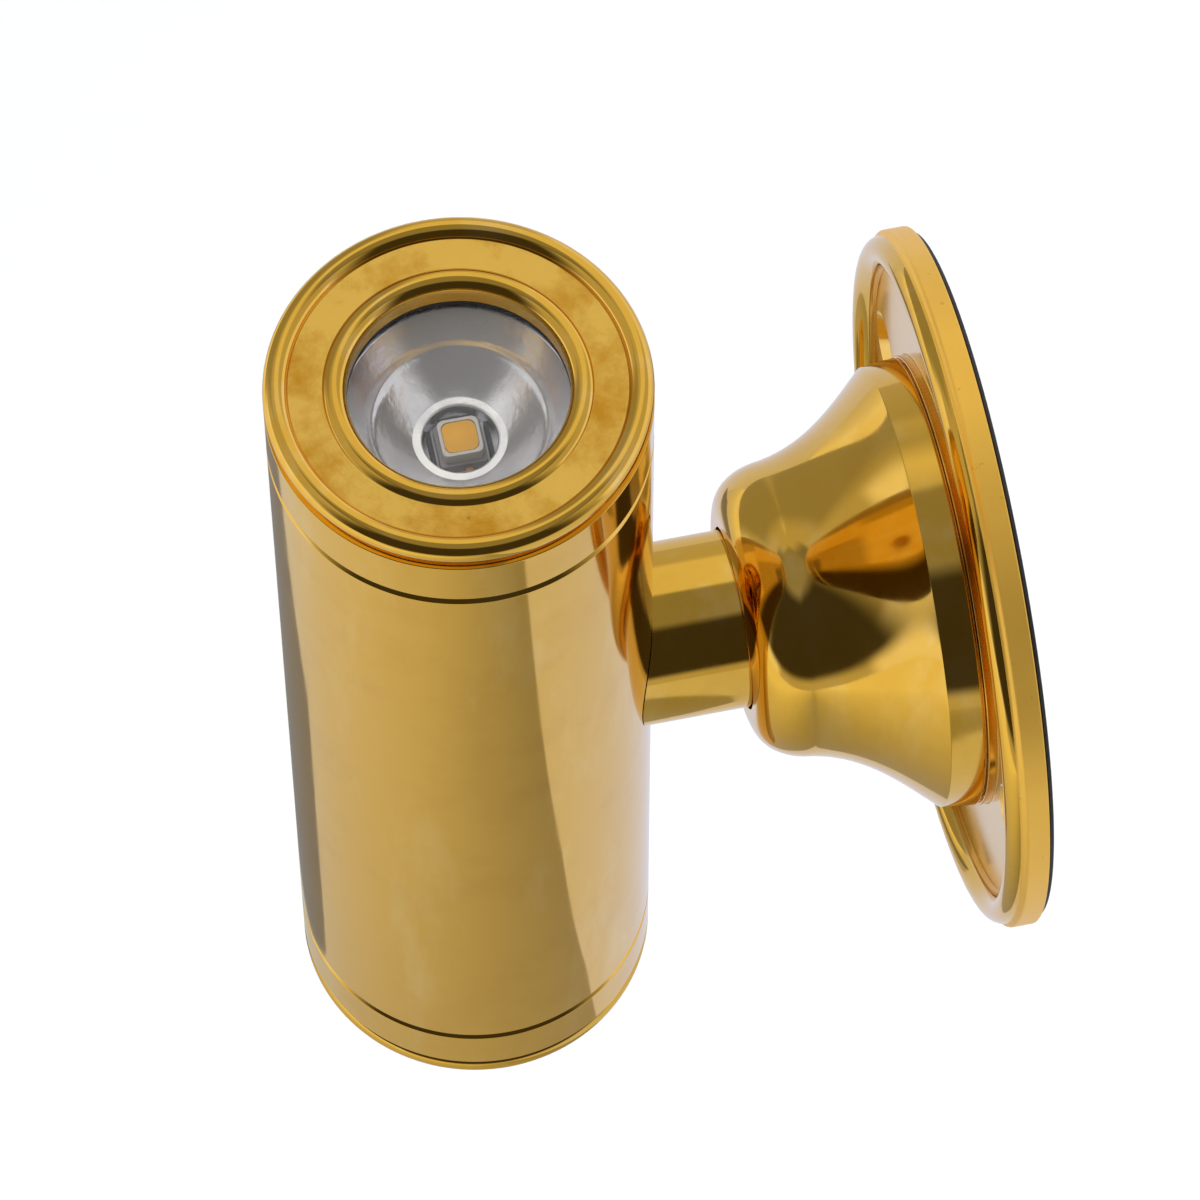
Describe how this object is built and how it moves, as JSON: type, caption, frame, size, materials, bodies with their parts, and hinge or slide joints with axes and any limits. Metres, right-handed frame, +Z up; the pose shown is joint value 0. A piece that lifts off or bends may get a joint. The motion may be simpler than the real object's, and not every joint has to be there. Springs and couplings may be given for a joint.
{
  "type": "wall light",
  "caption": "Polished brass wall light: an upright tube lamp shining up and down, on a short swivel arm from a bell cup and round wall plate.",
  "frame": {"origin": "centre of the face that meets the wall, on the arm axis", "axes": "+Z up along the lamp tube, +Y into the wall, so the light stands out along -Y"},
  "size_m": [0.0778, 0.0764, 0.1266],
  "materials": {
    "polished_brass": "mirror polish, lightly worn",
    "turned_brass": "as turned",
    "bronze": "as turned",
    "zinc_steel": "zinc plated",
    "aluminium": "as turned",
    "reflector": "bright aluminised, faintly dimpled",
    "rubber": "matt black",
    "nylon": "natural nylon",
    "driver_case": "matt black",
    "led_board": "white solder mask",
    "led_body": "white moulded",
    "phosphor": "silicone over phosphor, unlit",
    "clear_glass": "clear, polished",
    "cable_sheath": "white sheath",
    "red_lead": "satin",
    "black_lead": "satin"
  },
  "bodies": {
    "wall_base": {"wall_pad": "rubber", "back_plate": "polished_brass", "cable_grommet": "rubber", "wall_cup": "polished_brass", "cup_screw_1": "zinc_steel", "cup_screw_2": "zinc_steel", "cup_screw_3": "zinc_steel", "stop_pin": "zinc_steel", "swivel_bush": "bronze", "neck_seal": "rubber", "terminal_block": "nylon", "terminal_screw_line": "zinc_steel", "terminal_screw_neutral": "zinc_steel"},
    "lamp_head": {"arm_tube": "polished_brass", "spring_washer": "zinc_steel", "stop_ring": "zinc_steel", "arm_nut": "turned_brass", "arm_nipple": "zinc_steel", "saddle_washer": "zinc_steel", "nipple_nut": "zinc_steel", "body_tube": "polished_brass", "supply_lead": "cable_sheath", "led_driver": "driver_case", "chassis_strip": "aluminium", "upper_chassis_screw": "zinc_steel", "upper_heat_sink": "aluminium", "upper_led_board": "led_board", "upper_board_screw_front": "zinc_steel", "upper_board_screw_rear": "zinc_steel", "upper_led_package": "led_body", "upper_led_phosphor": "phosphor", "upper_reflector": "reflector", "upper_red_lead": "red_lead", "upper_black_lead": "black_lead", "lower_chassis_screw": "zinc_steel", "lower_heat_sink": "aluminium", "lower_led_board": "led_board", "lower_board_screw_front": "zinc_steel", "lower_board_screw_rear": "zinc_steel", "lower_led_package": "led_body", "lower_led_phosphor": "phosphor", "lower_reflector": "reflector", "lower_red_lead": "red_lead", "lower_black_lead": "black_lead"},
    "upper_lens_set": {"upper_lens": "clear_glass", "upper_lens_seal": "rubber", "upper_lens_clip": "zinc_steel"},
    "upper_bezel_set": {"upper_bezel": "polished_brass", "upper_bezel_oring": "rubber"},
    "lower_lens_set": {"lower_lens": "clear_glass", "lower_lens_seal": "rubber", "lower_lens_clip": "zinc_steel"},
    "lower_bezel_set": {"lower_bezel": "polished_brass", "lower_bezel_oring": "rubber"}
  },
  "joints": [
    {"name": "head_swivel", "type": "hinge", "parent": "wall_base", "child": "lamp_head", "pos_m": [0, -0.0268, 0], "axis": [0, -1, 0], "range_deg": [-90, 90]},
    {"name": "upper_bezel_lift", "type": "slide", "parent": "lamp_head", "child": "upper_lens_set", "axis": [0, 0, 1], "range_m": [0, 0.005]},
    {"name": "upper_bezel_turn", "type": "hinge", "parent": "upper_lens_set", "child": "upper_bezel_set", "pos_m": [0, -0.0564, 0.0532], "axis": [0, 0, 1], "range_deg": [0, 1800]},
    {"name": "lower_bezel_lift", "type": "slide", "parent": "lamp_head", "child": "lower_lens_set", "axis": [0, 0, -1], "range_m": [0, 0.005]},
    {"name": "lower_bezel_turn", "type": "hinge", "parent": "lower_lens_set", "child": "lower_bezel_set", "pos_m": [0, -0.0564, -0.0532], "axis": [0, 0, -1], "range_deg": [0, 1800]}
  ],
  "couplings": [
    {"joint": "upper_bezel_lift", "follows": "upper_bezel_turn", "m_per_rad": 0.000159},
    {"joint": "lower_bezel_lift", "follows": "lower_bezel_turn", "m_per_rad": 0.000159}
  ]
}
